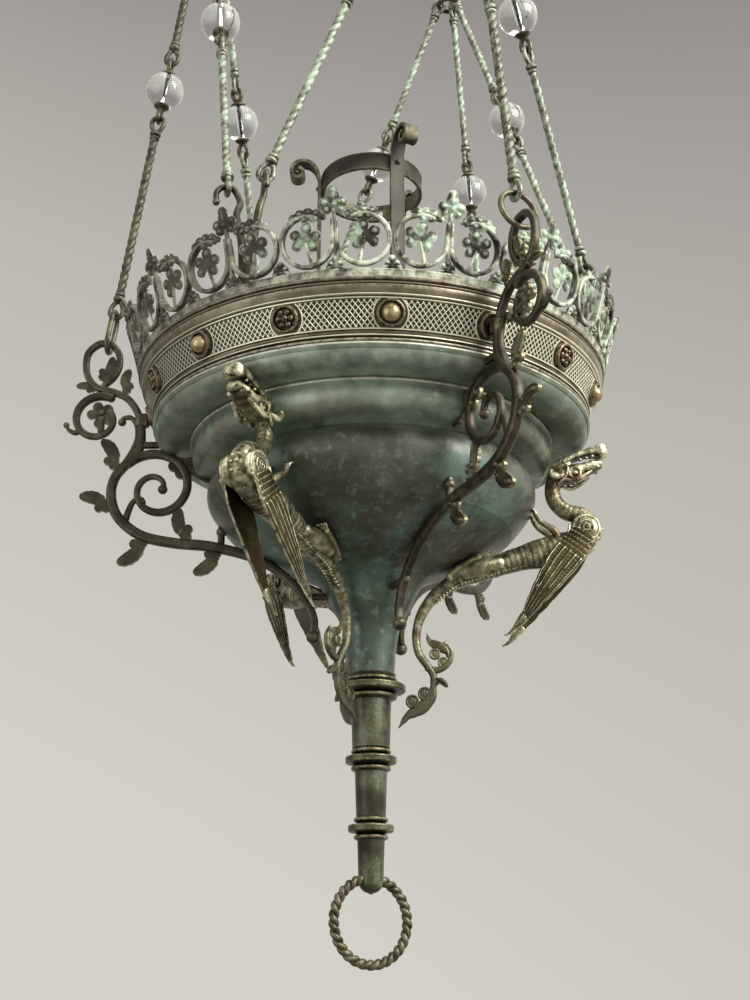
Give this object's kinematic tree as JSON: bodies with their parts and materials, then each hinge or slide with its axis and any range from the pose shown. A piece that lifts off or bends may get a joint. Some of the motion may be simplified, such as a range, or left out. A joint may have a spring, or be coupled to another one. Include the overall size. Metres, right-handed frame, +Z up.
{
  "type": "hanging lamp",
  "caption": "Hanging bronze church-style lamp: tiered bowl with pierced crown, scroll brackets and winged beasts, on twisted rods with glass balls from a top bail.",
  "frame": {"origin": "inner top of the hanging bail, where a ceiling hook carries the lamp", "axes": "+Z up along the lamp's axis, -Y towards the viewer of the picture, +X to the viewer's right"},
  "size_m": [0.4663, 0.4464, 1.2919],
  "materials": {
    "patinated_bronze": "green and brown patina, worn edges",
    "verdigris_bronze": "pale verdigris",
    "bronze_gilt": "worn golden bronze",
    "dark_bronze": "dark brown bronze",
    "glass": "clear"
  },
  "bodies": {
    "hanging": {"hanging_bail": "dark_bronze"},
    "lamp": {"bowl": "patinated_bronze", "funnel": "patinated_bronze", "stem": "patinated_bronze", "crown_gallery": "verdigris_bronze", "gallery_band": "bronze_gilt", "stem_tie_rod": "dark_bronze", "cup_holder": "dark_bronze", "scroll_bracket_left": "dark_bronze", "bracket_link_left": "dark_bronze", "top_rod_left": "dark_bronze", "scroll_bracket_front": "dark_bronze", "bracket_link_front": "dark_bronze", "top_rod_front": "dark_bronze", "scroll_bracket_rear": "dark_bronze", "bracket_link_rear": "dark_bronze", "top_rod_rear": "dark_bronze", "winged_beast_front_left": "bronze_gilt", "crown_hook_front_left": "dark_bronze", "winged_beast_right": "bronze_gilt", "crown_hook_right": "dark_bronze", "winged_beast_rear_left": "bronze_gilt", "crown_hook_rear_left": "dark_bronze", "lower_rod_left": "verdigris_bronze", "upper_rod_left": "verdigris_bronze", "ball_pin_left": "dark_bronze", "lower_rod_front": "verdigris_bronze", "upper_rod_front": "verdigris_bronze", "ball_pin_front": "dark_bronze", "lower_rod_rear": "verdigris_bronze", "upper_rod_rear": "verdigris_bronze", "ball_pin_rear": "dark_bronze", "lower_rod_front_left_a": "verdigris_bronze", "upper_rod_front_left_a": "verdigris_bronze", "ball_pin_front_left_a": "dark_bronze", "lower_rod_front_left_b": "verdigris_bronze", "upper_rod_front_left_b": "verdigris_bronze", "ball_pin_front_left_b": "dark_bronze", "lower_rod_right_a": "verdigris_bronze", "upper_rod_right_a": "verdigris_bronze", "ball_pin_right_a": "dark_bronze", "lower_rod_right_b": "verdigris_bronze", "upper_rod_right_b": "verdigris_bronze", "ball_pin_right_b": "dark_bronze", "lower_rod_rear_left_a": "verdigris_bronze", "upper_rod_rear_left_a": "verdigris_bronze", "ball_pin_rear_left_a": "dark_bronze", "lower_rod_rear_left_b": "verdigris_bronze", "upper_rod_rear_left_b": "verdigris_bronze", "ball_pin_rear_left_b": "dark_bronze"},
    "pull_ring": {"pull_ring": "dark_bronze"},
    "glass_ball_left": {"glass_ball_left": "glass"},
    "glass_ball_front": {"glass_ball_front": "glass"},
    "glass_ball_rear": {"glass_ball_rear": "glass"},
    "glass_ball_front_left_a": {"glass_ball_front_left_a": "glass"},
    "glass_ball_front_left_b": {"glass_ball_front_left_b": "glass"},
    "glass_ball_right_a": {"glass_ball_right_a": "glass"},
    "glass_ball_right_b": {"glass_ball_right_b": "glass"},
    "glass_ball_rear_left_a": {"glass_ball_rear_left_a": "glass"},
    "glass_ball_rear_left_b": {"glass_ball_rear_left_b": "glass"}
  },
  "joints": [
    {"name": "lamp_swing", "type": "hinge", "parent": "hanging", "child": "lamp", "pos_m": [0, 0, -0.0245], "axis": [1, 0, 0], "range_deg": [-10, 10]},
    {"name": "pull_ring_swing", "type": "hinge", "parent": "lamp", "child": "pull_ring", "pos_m": [0, 0, -1.21988], "axis": [0.866, 0.5, 0], "range_deg": [-75, 75]},
    {"name": "glass_ball_left_spin", "type": "hinge", "parent": "lamp", "child": "glass_ball_left", "pos_m": [-0.18866, 0, -0.52296], "axis": [0.1331, 0, 0.9911], "continuous": true},
    {"name": "glass_ball_front_spin", "type": "hinge", "parent": "lamp", "child": "glass_ball_front", "pos_m": [0.0948, -0.16419, -0.5299], "axis": [-0.0666, 0.1153, 0.9911], "continuous": true},
    {"name": "glass_ball_rear_spin", "type": "hinge", "parent": "lamp", "child": "glass_ball_rear", "pos_m": [0.0948, 0.16419, -0.5299], "axis": [-0.0666, -0.1153, 0.9911], "continuous": true},
    {"name": "glass_ball_front_left_a_spin", "type": "hinge", "parent": "lamp", "child": "glass_ball_front_left_a", "pos_m": [-0.12898, -0.07312, -0.50704], "axis": [-0.103, 0.3272, 0.9393], "continuous": true},
    {"name": "glass_ball_front_left_b_spin", "type": "hinge", "parent": "lamp", "child": "glass_ball_front_left_b", "pos_m": [0.00117, -0.14826, -0.50704], "axis": [0.3348, 0.0744, 0.9393], "continuous": true},
    {"name": "glass_ball_right_a_spin", "type": "hinge", "parent": "lamp", "child": "glass_ball_right_a", "pos_m": [0.12781, -0.07514, -0.50704], "axis": [-0.2318, -0.2528, 0.9393], "continuous": true},
    {"name": "glass_ball_right_b_spin", "type": "hinge", "parent": "lamp", "child": "glass_ball_right_b", "pos_m": [0.12781, 0.07514, -0.50704], "axis": [-0.2318, 0.2528, 0.9393], "continuous": true},
    {"name": "glass_ball_rear_left_a_spin", "type": "hinge", "parent": "lamp", "child": "glass_ball_rear_left_a", "pos_m": [0.00117, 0.14826, -0.50704], "axis": [0.3348, -0.0744, 0.9393], "continuous": true},
    {"name": "glass_ball_rear_left_b_spin", "type": "hinge", "parent": "lamp", "child": "glass_ball_rear_left_b", "pos_m": [-0.12898, 0.07312, -0.50704], "axis": [-0.103, -0.3272, 0.9393], "continuous": true}
  ]
}
